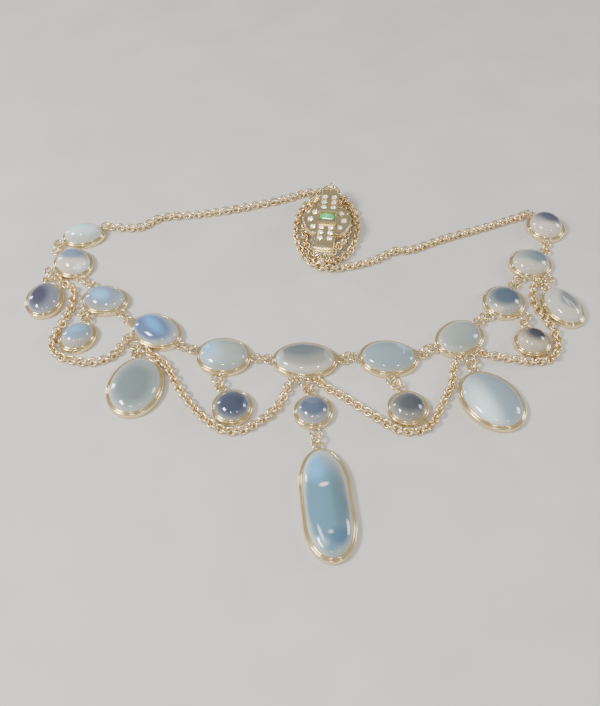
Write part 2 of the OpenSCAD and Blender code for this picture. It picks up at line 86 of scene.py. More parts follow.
def add_node(tree, kind, **values):
    made = tree.nodes.new(kind)
    for key, value in values.items():
        setattr(made, key, value)
    return made


def noise_at(tree, scale, detail=3, distortion=0, output="Fac"):
    """Noise over the object's own coordinates, which are in metres."""
    place = add_node(tree, "ShaderNodeTexCoord")
    made = add_node(tree, "ShaderNodeTexNoise")
    made.inputs["Scale"].default_value = scale
    made.inputs["Detail"].default_value = detail
    made.inputs["Distortion"].default_value = distortion
    tree.links.new(place.outputs["Object"], made.inputs["Vector"])
    return made.outputs[output]


def ramp(tree, source, *stops):
    """A colour ramp. Each stop is a place and a colour, or a place and one grey level."""
    made = add_node(tree, "ShaderNodeValToRGB")
    while len(made.color_ramp.elements) < len(stops):
        made.color_ramp.elements.new(0.5)
    for element, (place, shade) in zip(made.color_ramp.elements, stops):
        element.position = place
        element.color = shade if isinstance(shade, tuple) else (shade, shade, shade, 1)
    tree.links.new(source, made.inputs["Fac"])
    return made.outputs["Color"]


def bump(tree, shader, height, strength, depth):
    made = add_node(tree, "ShaderNodeBump")
    made.inputs["Strength"].default_value = strength
    made.inputs["Distance"].default_value = depth * MM
    tree.links.new(height, made.inputs["Height"])
    tree.links.new(made.outputs["Normal"], shader.inputs["Normal"])


FLOOR_SIZE = 1400
floor_look, tree, shader = new_material("table_top", Roughness=0.62)
grain = noise_at(tree, 60, detail=6)
tree.links.new(
    ramp(tree, grain, (0.3, colour(212, 210, 206)), (0.7, colour(221, 219, 216))),
    shader.inputs["Base Color"],
)
bump(tree, shader, noise_at(tree, 900), 0.15, 0.1)
bm = bmesh.new()
bmesh.ops.create_grid(bm, x_segments=8, y_segments=8, size=FLOOR_SIZE / 2 * MM)
floor_mesh = bpy.data.meshes.new("table_top")
bm.to_mesh(floor_mesh)
bm.free()
floor_mesh.materials.append(floor_look)
table_top = bpy.data.objects.new("table_top", floor_mesh)
bpy.context.scene.collection.objects.link(table_top)


def softbox(name, place, size, power, tint):
    """An area light that looks at the middle of the row."""
    light = bpy.data.lights.new(name, "AREA")
    light.shape = "RECTANGLE"
    light.size, light.size_y = size[0] * MM, size[1] * MM
    light.energy = power
    light.color = tint
    made = bpy.data.objects.new(name, light)
    made.location = Vector(place) * MM
    made.rotation_mode = "QUATERNION"
    made.rotation_quaternion = Vector(place).to_track_quat("Z", "Y")
    bpy.context.scene.collection.objects.link(made)


softbox("key", (-290, -97, 327), (120, 90), 2.0, (1, 0.985, 0.96))
softbox("strip_behind", (-460, 265, 90), (60, 200), 1.1, (0.86, 0.92, 1))
softbox("right_side", (420, 120, 200), (120, 160), 0.8, (1, 0.97, 0.93))
softbox("lamp_left", (-60, -290, 360), (44, 26), 0.4, (1, 0.97, 0.92))
softbox("lamp_right", (200, -260, 330), (30, 30), 0.25, (1, 0.96, 0.9))

# The room is brightest overhead and dim along the horizon
world = bpy.data.worlds.new("room")
world.use_nodes = True
tree = world.node_tree
towards = add_node(tree, "ShaderNodeTexCoord")
split = add_node(tree, "ShaderNodeSeparateXYZ")
tree.links.new(towards.outputs["Generated"], split.inputs["Vector"])
sky = ramp(tree, split.outputs["Z"], (0.0, 0.26), (0.35, 0.4), (0.75, 0.78), (1.0, 0.9))
tree.links.new(sky, tree.nodes["Background"].inputs["Color"])
tree.nodes["Background"].inputs["Strength"].default_value = 0.6
bpy.context.scene.world = world


# Collets. Each stone sits in a band of gold soldered to a closed back, with its inner edge
# rubbed over the stone and fine eyes of round wire soldered to the wall. The row's collets
# are joined by jump rings from eye to eye, and the drops hang from the eyes below.
ROW_W = 9.2
DROP_W = 8.2
RIM_H = 1.5
WIRE_D = 0.42
ROW_EYE_D = 2.32
LUG_D = 2.52
DROP_EYE_D = 2.12
SMALL_EYE_D = 1.9
RING_D = 2.66
EYE_Z = 1.0
BITE = 0.2
RING_GAP = 0.12
ROLL = 48
ROLL_PLAY = 0.16
# TURN is the bearing of an oval's length. EGG makes its first half longer, STRAIGHT is the
# share of it with straight sides, and RISE is the dome's share of DOME_H. A collet hangs ON
# another one, with the eye on that one at LEAVE, its own at ARRIVE, and HEAD between them.
Collet = namedtuple("Collet", "kind length width turn egg straight rise on leave head arrive pull")
COLLETS = {
    "c": Collet("row", 1.46 * ROW_W, ROW_W, -1, 0, 0, 1, None, 0, 0, 0, 0),
    "r1": Collet("row", 1.34 * ROW_W, ROW_W, -4, 0.02, 0, 1, "c", 2, 12, 178, 0.1),
    "r2": Collet("row", 1.22 * ROW_W, 0.98 * ROW_W, 33, -0.03, 0, 1, "r1", 8, 33, 205, 1),
    "r3": Collet("row", ROW_W, ROW_W, 0, 0, 0, 1.1, "r2", 45, 36, 225, 1),
    "r4": Collet("row", 1.04 * ROW_W, 0.97 * ROW_W, 0, 0, 0, 1.15, "r3", 60, 51, 235, 1),
    "r5": Collet("row", 1.02 * ROW_W, 0.94 * ROW_W, 115, 0, 0, 1.35, "r4", 45, 76, 260, 0.6),
    "l1": Collet("row", 1.24 * ROW_W, 1.03 * ROW_W, -5, 0, 0, 1, "c", 178, 173, -4, 0.3),
    "l2": Collet("row", 1.28 * ROW_W, 0.96 * ROW_W, -30, 0.03, 0, 1.1, "l1", 165, 159, -35, 0.8),
    "l3": Collet("row", 1.12 * ROW_W, 0.9 * ROW_W, -8, 0.06, 0, 1.05, "l2", 155, 132, -40, 1),
    "l4": Collet("row", 1.03 * ROW_W, 0.94 * ROW_W, -45, 0, 0, 1.25, "l3", 125, 143, -60, 1),
    "l5": Collet("row", 1.08 * ROW_W, 0.75 * ROW_W, 14, 0, 0, 1.35, "l4", 140, 89, 205, 1),
    "dc": Collet("drop", 0.96 * DROP_W, 0.96 * DROP_W, 0, 0, 0, 1, "c", 270, -69, 98, 0.1),
    "dp": Collet("drop", 23.4, 9.8, 96, 0.03, 0.3, 1.1, "dc", 275, -87, 98, 1),
    "dl1": Collet("drop", 1.01 * DROP_W, 1.01 * DROP_W, 0, 0, 0, 1, "l1", 260, -70, 120, 1),
    "dl2": Collet("drop", 1.78 * DROP_W, 1.39 * DROP_W, 80, 0.02, 0, 1.1, "l2", 225, -76, 95, 0.8),
    "dl3": Collet("drop", 1.03 * DROP_W, 0.9 * DROP_W, 50, 0, 0, 1.1, "l3", 220, -53, 75, 1),
    "dl4": Collet("drop", 1.22 * DROP_W, 1.01 * DROP_W, 88, 0.02, 0, 1, "l4", 205, -94, 95, 1),
    "dr1": Collet("drop", 1.01 * DROP_W, 1.01 * DROP_W, 0, 0, 0, 1, "r1", 275, -53, 105, 0.1),
    "dr2": Collet("drop", 1.87 * DROP_W, 1.41 * DROP_W, 125, 0, 0, 1, "r2", 285, -88, 110, 1),
    "dr3": Collet("drop", 0.95 * DROP_W, 0.95 * DROP_W, 0, 0, 0, 1.2, "r3", 315, -101, 100, 0.1),
    "dr4": Collet("drop", 1.41 * DROP_W, 0.98 * DROP_W, 115, 0, 0, 1.15, "r4", 305, -118, 115, 0.4),
}
# Sides of a drop's lug on which a small eye carries a swag, the bearings of the back chains'
# eyes, and the collets whose eye stands on a small pointed plate of the one they hang on
SWAG_EYES = {"dl4": (1,), "dl2": (-1, 1), "dc": (-1, 1), "dr2": (-1, 1), "dr4": (-1,)}
CHAIN_EYES = {"l5": 35, "r5": 125}
POINTED = ("r1", "r2")
wire_r = WIRE_D / 2
ring_r = RING_D / 2 - wire_r
ring_z = max(EYE_Z, ring_r * math.sin(math.radians(ROLL)) + wire_r)


def heading(bearing):
    return Vector((math.cos(math.radians(bearing)), math.sin(math.radians(bearing)), 0))


def edge(c, bearing):
    """From a collet's middle to its edge at a bearing."""
    along = math.cos(math.radians(bearing - c.turn))
    across = abs(math.sin(math.radians(bearing - c.turn)))
    half = c.length * (0.5 + (c.egg if along > 0 else -c.egg))
    along = abs(along)
    flat = c.straight * half
    a, b = half - flat, c.width / 2
    if b * along < flat * across:
        return b / across
    p = (along / a) ** 2 + (across / b) ** 2
    q = along * flat / a / a
    return (q + math.sqrt(q * q + p * (1 - flat * flat / a / a))) / p


def eye_radius(diameter):
    return diameter / 2 - wire_r


def eye_on(name, bearing, radius):
    c = COLLETS[name]
    return middle(name) + heading(bearing) * (edge(c, bearing) + radius + wire_r - BITE)


def host_radius(c):
    return eye_radius(ROW_EYE_D if c.kind == "row" else LUG_D)


def own_radius(c):
    return eye_radius(ROW_EYE_D if c.kind == "row" else DROP_EYE_D)


def eyes_apart(c):
    least = host_radius(c) + own_radius(c) + WIRE_D + RING_GAP
    most = host_radius(c) + own_radius(c) + 2 * (ring_r - WIRE_D - RING_GAP - ROLL_PLAY)
    return least + c.pull * (most - least)


def host_eye(c):
    return eye_on(c.on, c.leave, host_radius(c))


def own_eye(c):
    return host_eye(c) + heading(c.head) * eyes_apart(c)


def middle(name):
    c = COLLETS[name]
    if c.on is None:
        return Vector((0, 0, 0))
    return own_eye(c) - heading(c.arrive) * (edge(c, c.arrive) + own_radius(c) + wire_r - BITE)


def small_eye(name, side):
    c = COLLETS[name]
    beside = (LUG_D + SMALL_EYE_D) / 2 + 2 * RING_GAP
    reach = edge(COLLETS[c.on], c.leave) + eye_radius(SMALL_EYE_D)
    bearing = c.leave + side * math.degrees(2 * math.asin(beside / 2 / reach))
    return eye_on(c.on, bearing, eye_radius(SMALL_EYE_D))


def as_object(name, bm, *looks):
    """A mesh drawn in millimetres becomes an object in metres, with its faces outward."""
    bmesh.ops.recalc_face_normals(bm, faces=bm.faces)
    bmesh.ops.scale(bm, vec=(MM, MM, MM), verts=bm.verts)
    mesh = bpy.data.meshes.new(name)
    bm.to_mesh(mesh)
    bm.free()
    for look in looks:
        mesh.materials.append(look)
    made = bpy.data.objects.new(name, mesh)
    bpy.context.scene.collection.objects.link(made)
    return made


def finish_piece(made, slot, *nodes, sharp=38):
    """Shades a piece, sets what it rides on, and hides the CAD nodes it stands for."""
    for face in made.data.polygons:
        face.use_smooth = True
    made.data.set_sharp_from_angle(angle=math.radians(sharp))
    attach(made, "root")
    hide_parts(*nodes)


SAME_SPOT = 0.0005
WIRE_STEPS = 28
WIRE_SIDES = 12


def spun(bm, profile, steps):
    """Spins a profile of (distance from the axis, height) once round."""
    spots = [bm.verts.new((r, 0, z)) for r, z in profile]
    lines = [bm.edges.new(pair) for pair in zip(spots, spots[1:])]
    bmesh.ops.spin(
        bm, geom=spots + lines, cent=(0, 0, 0), axis=(0, 0, 1),
        angle=2 * math.pi, steps=steps, use_merge=True,
    )
    bmesh.ops.remove_doubles(bm, verts=bm.verts, dist=SAME_SPOT)


def wire_ring(bm, radius, wire, place, steps=WIRE_STEPS, sides=WIRE_SIDES, stretch=1):
    """Adds a ring of round wire in the XY plane, stretched along X, at a matrix."""
    old = set(bm.verts)
    upright = Matrix.Translation((radius, 0, 0)) @ Matrix.Rotation(math.radians(90), 4, "X")
    start = bmesh.ops.create_circle(bm, segments=sides, radius=wire, matrix=upright)["verts"]
    lines = list(dict.fromkeys(line for spot in start for line in spot.link_edges))
    bmesh.ops.spin(
        bm, geom=start + lines, cent=(0, 0, 0), axis=(0, 0, 1),
        angle=2 * math.pi, steps=steps, use_merge=True,
    )
    fresh = [v for v in bm.verts if v not in old]
    bmesh.ops.transform(bm, matrix=place @ Matrix.Diagonal((stretch, 1, 1, 1)), verts=fresh)


def loose_parts(bm):
    """The vertices of each loose part of a mesh."""
    left = dict.fromkeys(bm.verts)
    while left:
        growing = [left.popitem()[0]]
        part = []
        while growing:
            spot = growing.pop()
            part.append(spot)
            for line in spot.link_edges:
                other = line.other_vert(spot)
                if other in left:
                    del left[other]
                    growing.append(other)
        yield part


# A crumb that a union leaves inside, where two facets lie together, has fewer corners
CRUMB = 6


def fuse(base, others, operation="UNION"):
    """Solders pieces into one closed body, or cuts them out, and clears hidden crumbs away."""
    for other in others:
        join = base.modifiers.new("solder", "BOOLEAN")
        join.operation = operation
        join.solver = "MANIFOLD"
        join.object = other
    depsgraph = bpy.context.evaluated_depsgraph_get()
    mesh = bpy.data.meshes.new_from_object(base.evaluated_get(depsgraph))
    base.modifiers.clear()
    base.data = mesh
    bm = bmesh.new()
    bm.from_mesh(mesh)
    crumbs = [spot for part in loose_parts(bm) if len(part) < CRUMB for spot in part]
    bmesh.ops.delete(bm, geom=crumbs, context="VERTS")
    bm.to_mesh(mesh)
    bm.free()
    for other in others:
        bpy.data.objects.remove(other)


def gold(name, light, dark, low_shade, rough, low=0, high=RIM_H):
    """Polished gold in random patches of two tones, with painted shade that darkens it low down."""
    made, tree, shader = new_material(name, Metallic=1.0, Roughness=rough)
    patches = ramp(tree, noise_at(tree, 240), (0.36, light), (0.7, dark))
    place = add_node(tree, "ShaderNodeTexCoord")
    split = add_node(tree, "ShaderNodeSeparateXYZ")
    tree.links.new(place.outputs["Object"], split.inputs["Vector"])
    # Painted shade: from HIGH down to LOW the gold darkens, to 0.6 of its colour at LOW, by the
    # share low_shade
    height = add_node(tree, "ShaderNodeMapRange", interpolation_type="SMOOTHSTEP")
    height.inputs["From Min"].default_value = low * MM
    height.inputs["From Max"].default_value = high * MM
    tree.links.new(split.outputs["Z"], height.inputs["Value"])
    shade = ramp(tree, height.outputs["Result"], (0.0, 0.6), (0.5, 0.92), (1.0, 1.0))
    mix = add_node(tree, "ShaderNodeMix", data_type="RGBA", blend_type="MULTIPLY")
    mix.inputs["Factor"].default_value = low_shade
    tree.links.new(patches, mix.inputs["A"])
    tree.links.new(shade, mix.inputs["B"])
    tree.links.new(mix.outputs["Result"], shader.inputs["Base Color"])
    scuffs = ramp(tree, noise_at(tree, 1500, detail=4), (0.35, rough * 0.85), (0.7, rough * 1.2))
    tree.links.new(scuffs, shader.inputs["Roughness"])
    bump(tree, shader, noise_at(tree, 420, detail=1), 0.04, 0.03)
    return made


# The collets' gold gets painted shade low on the walls, towards the table
collet_gold = gold("collet_gold", colour(255, 234, 184), colour(246, 218, 162), 0.5, 0.19)


# How far in from the outside a section keeps its shape all round an oval
KEPT_SECTION = 1.2
NEARLY_ZERO = 1e-6


def drawn_oval(bm, c, place):
    """Pulls a round collet or stone, spun about the axis, to its oval, turned and placed."""
    round_r = c.width / 2
    inner = round_r - KEPT_SECTION
    bend = 90 * (1 - c.straight)
    for v in bm.verts:
        r = math.hypot(v.co.x, v.co.y)
        if r < NEARLY_ZERO:
            continue
        side_x = 1 if v.co.x > -NEARLY_ZERO else -1
        side_y = 1 if v.co.y > -NEARLY_ZERO else -1
        turn = math.degrees(math.atan2(abs(v.co.y), abs(v.co.x)))
        end = math.radians(90 * min(turn / bend, 1))
        half = c.length * (0.5 + side_x * c.egg)
        flat = c.straight * half
        straight_run = flat * min(1, (90 - turn) / max(90 - bend, NEARLY_ZERO))
        share = min(r / inner, 1)
        grow = max(r, inner) - round_r
        v.co.x = side_x * share * (straight_run + (half - flat + grow) * math.cos(end))
        v.co.y = side_y * share * (round_r + grow) * math.sin(end)
    turned = Matrix.Translation(place) @ Matrix.Rotation(math.radians(c.turn), 4, "Z")
    bmesh.ops.transform(bm, matrix=turned, verts=bm.verts)


# Section of the wall: distance in from the outside and height. Outside is a stout band with
# a rounded top, and inside it a round lip that is rubbed down over the stone.
WALL = (
    (0.3, 0), (0.09, 0.02), (0.01, 0.12), (0, 0.5), (0, 0.98), (0.03, 1.12), (0.1, 1.23),
    (0.2, 1.28), (0.3, 1.27), (0.37, 1.23), (0.42, 1.25), (0.47, 1.36), (0.54, 1.46), (0.64, 1.5),
    (0.75, 1.49), (0.83, 1.42), (0.84, 1.32), (0.72, 1.24), (0.45, 1.1), (0.45, 0.42),
)
WALL_STEPS = 96
UNEVEN = 0.02
UNEVEN_SCALE = 0.3
EYE_WIRE_D = 0.5
SOLDER = (0.34, 0.46, 0.27)
SOLDER_SUNK = 0.02
PLATE_BOTTOM = 0.55
PLATE_TOP = 1.26
PLATE_FOOT = 0.17
PLATE_BITE = 0.45
PLATE_SOFTEN = 0.07


def solder_at(at, inward, radius):
    """The drop of solder where an eye meets its wall."""
    bm = bmesh.new()
    bmesh.ops.create_icosphere(bm, subdivisions=2, radius=1)
    joint = at + inward * (radius + SOLDER_SUNK) + Vector((0, 0, EYE_Z - SOLDER_SUNK))
    about = Matrix.Rotation(math.atan2(inward.y, inward.x), 4, "Z")
    squeezed = Matrix.Translation(joint) @ about @ Matrix.Diagonal(SOLDER + (1,))
    bmesh.ops.transform(bm, matrix=squeezed, verts=bm.verts)
    return as_object("solder", bm)


def pointed_plate(c):
    """The small plate between a collet's wall and the eye of the one hung there."""
    host = COLLETS[c.on]
    reach = edge(host, c.leave)
    foot = PLATE_FOOT * host.width
    bm = bmesh.new()
    corners = (
        (reach - PLATE_BITE, -foot), (reach + WIRE_D, -WIRE_D),
        (reach + WIRE_D, WIRE_D), (reach - PLATE_BITE, foot),
    )
    face = bm.faces.new([bm.verts.new((x, y, PLATE_BOTTOM)) for x, y in corners])
    raised = bmesh.ops.extrude_face_region(bm, geom=[face])["geom"]
    upper = [part for part in raised if isinstance(part, bmesh.types.BMVert)]
    bmesh.ops.translate(bm, vec=(0, 0, PLATE_TOP - PLATE_BOTTOM), verts=upper)
    bmesh.ops.bevel(
        bm, geom=bm.edges[:], offset=PLATE_SOFTEN, segments=2, profile=0.5, affect="EDGES",
        material=-1,
    )
    turned = Matrix.Translation(middle(c.on)) @ Matrix.Rotation(math.radians(c.leave), 4, "Z")
    bmesh.ops.transform(bm, matrix=turned, verts=bm.verts)
    return as_object("pointed_plate", bm)


noise.seed_set(7)
for name, c in COLLETS.items():
    bm = bmesh.new()
    outside = c.width / 2
    profile = [(0, WALL[0][1])] + [(outside - r, z) for r, z in WALL] + [(0, WALL[-1][1])]
    spun(bm, profile, WALL_STEPS)
    drawn_oval(bm, c, middle(name))
    for v in bm.verts:
        v.co += noise.noise_vector(v.co * UNEVEN_SCALE) * UNEVEN * min(1, v.co.z)
    wall = as_object("collet_" + name, bm, collet_gold)
    eyes = []
    soldered = []
    if c.on:
        eyes.append((own_eye(c), own_radius(c)))
    for hung_name, hung in COLLETS.items():
        if hung.on != name:
            continue
        eyes.append((host_eye(hung), host_radius(hung)))
        if hung_name in POINTED:
            soldered.append(pointed_plate(hung))
        for side in SWAG_EYES.get(hung_name, ()):
            eyes.append((small_eye(hung_name, side), eye_radius(SMALL_EYE_D)))
    if name in CHAIN_EYES:
        chain_eye_r = eye_radius(ROW_EYE_D)
        eyes.append((eye_on(name, CHAIN_EYES[name], chain_eye_r), chain_eye_r))
    for at, radius in eyes:
        bm = bmesh.new()
        level = Matrix.Translation(at + Vector((0, 0, EYE_Z)))
        wire_ring(bm, radius, EYE_WIRE_D / 2, level)
        soldered.append(as_object("eye", bm))
        soldered.append(solder_at(at, (middle(name) - at).normalized(), radius))
    fuse(wall, soldered)
    finish_piece(wall, "collet_gold", "setting_" + name)


# Moonstones. Each is a domed cabochon of milky feldspar, held under the rubbed edge of its
# collet. Its layers lie aslant, so its clear window and its blue sheen stand off the middle,
# over pale milk in front, which is painted light gathered there. The blue sheen, a few
# highlights and reflections and a glow round the edge are painted light as well.
DOME_H = 1.9
UNDER_RIM = 0.5
LAYER_SLANT = 0.78
DRIFT = 0.5
MILK_SPREAD = 14
# The pale colour painted as light all round each stone's edge, and where its glow starts and is
# full
EDGE_GLOW = (212, 214, 210)
GLOW_FROM = 0.8
GLOW_FULL = 1.02
GLOW_MOST = 0.6
Patch = namedtuple("Patch", "tint at size turn strength soft", defaults=(0, 1, 0.6))
# Of each stone its milk, how bright its painted edge glow is, and the patches that float in it,
# some of which are painted sheen, highlights and reflections. A patch lies AT shares of the
# stone's half width. Its SIZE is in shares of the half length and half width, and TURN is its
# bearing from the stone's length.
STONES = {
    "c": ((200, 194, 184), 0.5, (
        Patch((156, 159, 154), (0, 0.3), (0.93, 0.74), 0, 1, 0.7),
        Patch((126, 133, 138), (-0.25, 0.6), (0.7, 0.46), 0, 1, 1.3),
        # Painted reflection: a bluish white streak down the left end
        Patch((176, 188, 200), (-1.3, 0.1), (0.14, 0.5), 0, 0.8, 0.8),
        Patch((180, 190, 172), (1.15, 0.35), (0.14, 0.4), 0, 0.5, 0.8),
    )),
    "r1": ((166, 174, 170), 0.5, (
        Patch((150, 165, 172), (0.1, 0.15), (0.9, 0.84)),
        # Painted sheen: a small blue white spot
        Patch((168, 192, 222), (0.75, 0.62), (0.26, 0.12), -31, 0.9, 0.9),
        Patch((196, 210, 218), (0.78, 0.3), (0.03, 0.12), 0, 0.7, 0.8),
    )),
    "r2": ((178, 181, 170), 0.5, (
        Patch((161, 169, 165), (0.08, 0.06), (0.86, 0.82)),
        Patch((152, 164, 164), (0.1, -0.1), (0.5, 0.4), 0, 0.6, 0.9),
    )),
    "r3": ((168, 169, 164), 0.6, (
        # Painted highlight at the lower left
        Patch((206, 198, 182), (-0.55, -0.65), (0.4, 0.3), 0, 0.9, 0.9),
        Patch((108, 120, 134), (0.02, 0.3), (0.78, 0.62), 0, 1, 0.9),
    )),
    "r4": ((195, 190, 175), 0.5, (
        Patch((164, 170, 166), (-0.5, 0.6), (0.5, 0.4), 0, 0.9, 0.9),
        Patch((132, 147, 156), (0.36, 0.42), (0.66, 0.52), -10, 1, 1),
    )),
    "r5": ((205, 195, 181), 0.4, (
        Patch((180, 178, 184), (-0.6, 0.5), (0.4, 0.4), 40, 0.8, 0.9),
        Patch((112, 116, 128), (0.16, 0.66), (0.8, 0.56), 40, 1, 1),
    )),
    "l1": ((166, 175, 172), 0.5, (
        Patch((172, 192, 206), (-0.7, 0.1), (0.5, 0.8), 0, 0.9, 0.9),
        # Painted sheen: a sky blue spot with a paler core
        Patch((136, 190, 238), (-0.73, 0.48), (0.2, 0.28), 0, 1, 0.9),
        Patch((178, 222, 248), (-0.76, 0.5), (0.1, 0.12), 0, 0.9, 0.9),
    )),
    "l2": ((180, 182, 184), 0.5, (
        Patch((116, 134, 168), (-0.12, 0.1), (0.84, 0.8), 0, 1, 0.6),
        # Painted sheen: a bright blue band
        Patch((114, 170, 218), (-0.05, 0.4), (0.56, 0.28), -20, 1, 1.5),
    )),
    "l3": ((167, 170, 171), 0.6, (
        Patch((144, 158, 178), (-0.08, 0.2), (0.84, 0.74), 0, 1, 0.7),
        # Painted sheen: a sky blue spot
        Patch((142, 192, 228), (0, 0.3), (0.38, 0.42), 0, 1, 1.5),
    )),
    "l4": ((203, 195, 187), 0.4, (
        # Painted light: a near white glow at the lower right
        Patch((226, 232, 236), (0.7, -0.35), (0.3, 0.5), 0, 0.9, 0.9),
        Patch((136, 152, 174), (0, 0.66), (0.74, 0.46), 45, 1, 0.8),
    )),
    "l5": ((198, 204, 206), 0.4, (
        Patch((206, 222, 220), (0, 0.4), (0.8, 0.5), 0, 1, 0.7),
        # Painted sheen: a cyan band
        Patch((184, 226, 232), (-0.25, 0.65), (0.5, 0.2), 0, 1, 0.8),
    )),
    "dc": ((158, 162, 168), 0.8, (
        Patch((112, 123, 142), (0, 0.3), (0.8, 0.62), 0, 1, 0.7),
        Patch((124, 136, 154), (0, 0.75), (0.5, 0.2), 0, 0.8, 0.8),
    )),
    "dp": ((168, 174, 171), 0.8, (
        Patch((120, 153, 172), (-0.08, 0), (0.85, 0.82), 0, 1, 0.5),
        Patch((120, 141, 150), (0.5, 0), (0.7, 0.3), 0, 0.8, 0.9),
        # Painted sheen: a bright cyan spot
        Patch((122, 182, 226), (-0.52, 1.9), (0.24, 0.4), 0, 1, 1.4),
        Patch((108, 134, 158), (0.45, -1.25), (0.16, 0.36), -80, 1, 1.1),
        Patch((168, 188, 194), (-0.36, -1.58), (0.14, 0.28), 84, 0.7, 0.8),
        Patch((236, 232, 216), (-0.15, 1.09), (0.08, 0.08), -84, 1, 1),
        Patch((208, 224, 228), (-0.3, -1.15), (0.15, 0.06), 12, 0.9, 0.8),
        Patch((196, 202, 198), (0.1, -1.08), (0.035, 0.1), 0, 0.9, 0.8),
    )),
    "dl1": ((134, 139, 150), 0.8, (
        Patch((98, 104, 121), (0, 0.15), (0.8, 0.74), 0, 1, 0.9),
        Patch((116, 136, 176), (0.8, 0.15), (0.16, 0.5), 0, 0.8, 0.9),
    )),
    "dl2": ((180, 192, 189), 0.8, (
        Patch((134, 147, 147), (0, 0.12), (0.82, 0.78), 0, 1, 0.9),
    )),
    "dl3": ((183, 176, 170), 0.5, (
        Patch((140, 162, 184), (0, 0.35), (0.74, 0.66), -50, 1, 0.7),
        # Painted sheen: a paler blue spot
        Patch((142, 180, 210), (0.1, 0.6), (0.5, 0.3), -50, 0.9, 1.2),
    )),
    "dl4": ((150, 156, 169), 1, (
        Patch((104, 104, 119), (-0.2, 0.25), (0.76, 0.66), 0, 1, 1.2),
    )),
    "dr1": ((150, 150, 146), 0.7, (
        Patch((106, 113, 117), (0.08, 0.3), (0.8, 0.6), 0, 1, 1),
    )),
    "dr2": ((150, 168, 175), 0.8, (
        # Painted sheen: a bright pale band
        Patch((216, 236, 239), (-0.42, -0.35), (0.8, 0.4), -15, 1, 1.9),
    )),
    "dr3": ((194, 182, 165), 0.5, (
        Patch((98, 100, 106), (0.24, 0.68), (0.8, 0.66), 0, 1, 1.1),
    )),
    "dr4": ((194, 190, 181), 0.7, (
        Patch((138, 145, 150), (0.3, 0.5), (0.5, 0.6), 0, 0.9, 0.7),
        Patch((216, 216, 210), (0.05, 0.3), (0.35, 0.04), 0, 0.8, 0.8),
        Patch((216, 216, 210), (0.35, 0.1), (0.3, 0.04), 12, 0.7, 0.8),
    )),
}
# What the gloss adds to a stone's shade, how much it leaves of it, and how strong a tint is
GLOSS_ADDS = 50
GLOSS_LEAVES = 0.73
TINT_STRENGTH = 0.85


def under_gloss(shade):
    """The body colour of a stone that shows this shade under its gloss."""
    bare = [(c - GLOSS_ADDS) / GLOSS_LEAVES for c in shade]
    grey = sum(bare) / 3
    return colour(*(min(max(grey + TINT_STRENGTH * (c - grey), 6), 252) for c in bare))


def reckoned(tree, a, b, operation="ADD"):
    """The sum or product of two values, of which either may be a socket."""
    made = add_node(tree, "ShaderNodeMath", operation=operation)
    for socket, value in zip(made.inputs, (a, b)):
        if isinstance(value, (int, float)):
            socket.default_value = value
        else:
            tree.links.new(value, socket)
    return made.outputs["Value"]


def step_between(tree, value, low, high, below, above):
    """BELOW under low and ABOVE over high, with a soft step between."""
    made = add_node(tree, "ShaderNodeMapRange", interpolation_type="SMOOTHSTEP")
    made.inputs["From Min"].default_value = low
    made.inputs["From Max"].default_value = high
    made.inputs["To Min"].default_value = below
    made.inputs["To Max"].default_value = above
    tree.links.new(value, made.inputs["Value"])
    return made.outputs["Result"]


def tinted(tree, factor, below, above):
    """Mixes towards a colour; either side may be a colour or a socket."""
    made = add_node(tree, "ShaderNodeMix", data_type="RGBA")
    tree.links.new(factor, made.inputs["Factor"])
    for socket, value in ((made.inputs["A"], below), (made.inputs["B"], above)):
        if isinstance(value, tuple):
            socket.default_value = value
        else:
            tree.links.new(value, socket)
    return made.outputs["Result"]


def out_from(tree, spots, at, size, bearing):
    """How far out a place is in an oval, which is 1 at the oval's edge."""
    laid = add_node(tree, "ShaderNodeMapping", vector_type="TEXTURE")
    laid.inputs["Location"].default_value = at * MM
    laid.inputs["Rotation"].default_value = (0, 0, math.radians(bearing))
    laid.inputs["Scale"].default_value = (size[0] * MM, size[1] * MM, 1)
    tree.links.new(spots, laid.inputs["Vector"])
    out = add_node(tree, "ShaderNodeVectorMath", operation="LENGTH")
    tree.links.new(laid.outputs["Vector"], out.inputs[0])
    return out.outputs["Value"]


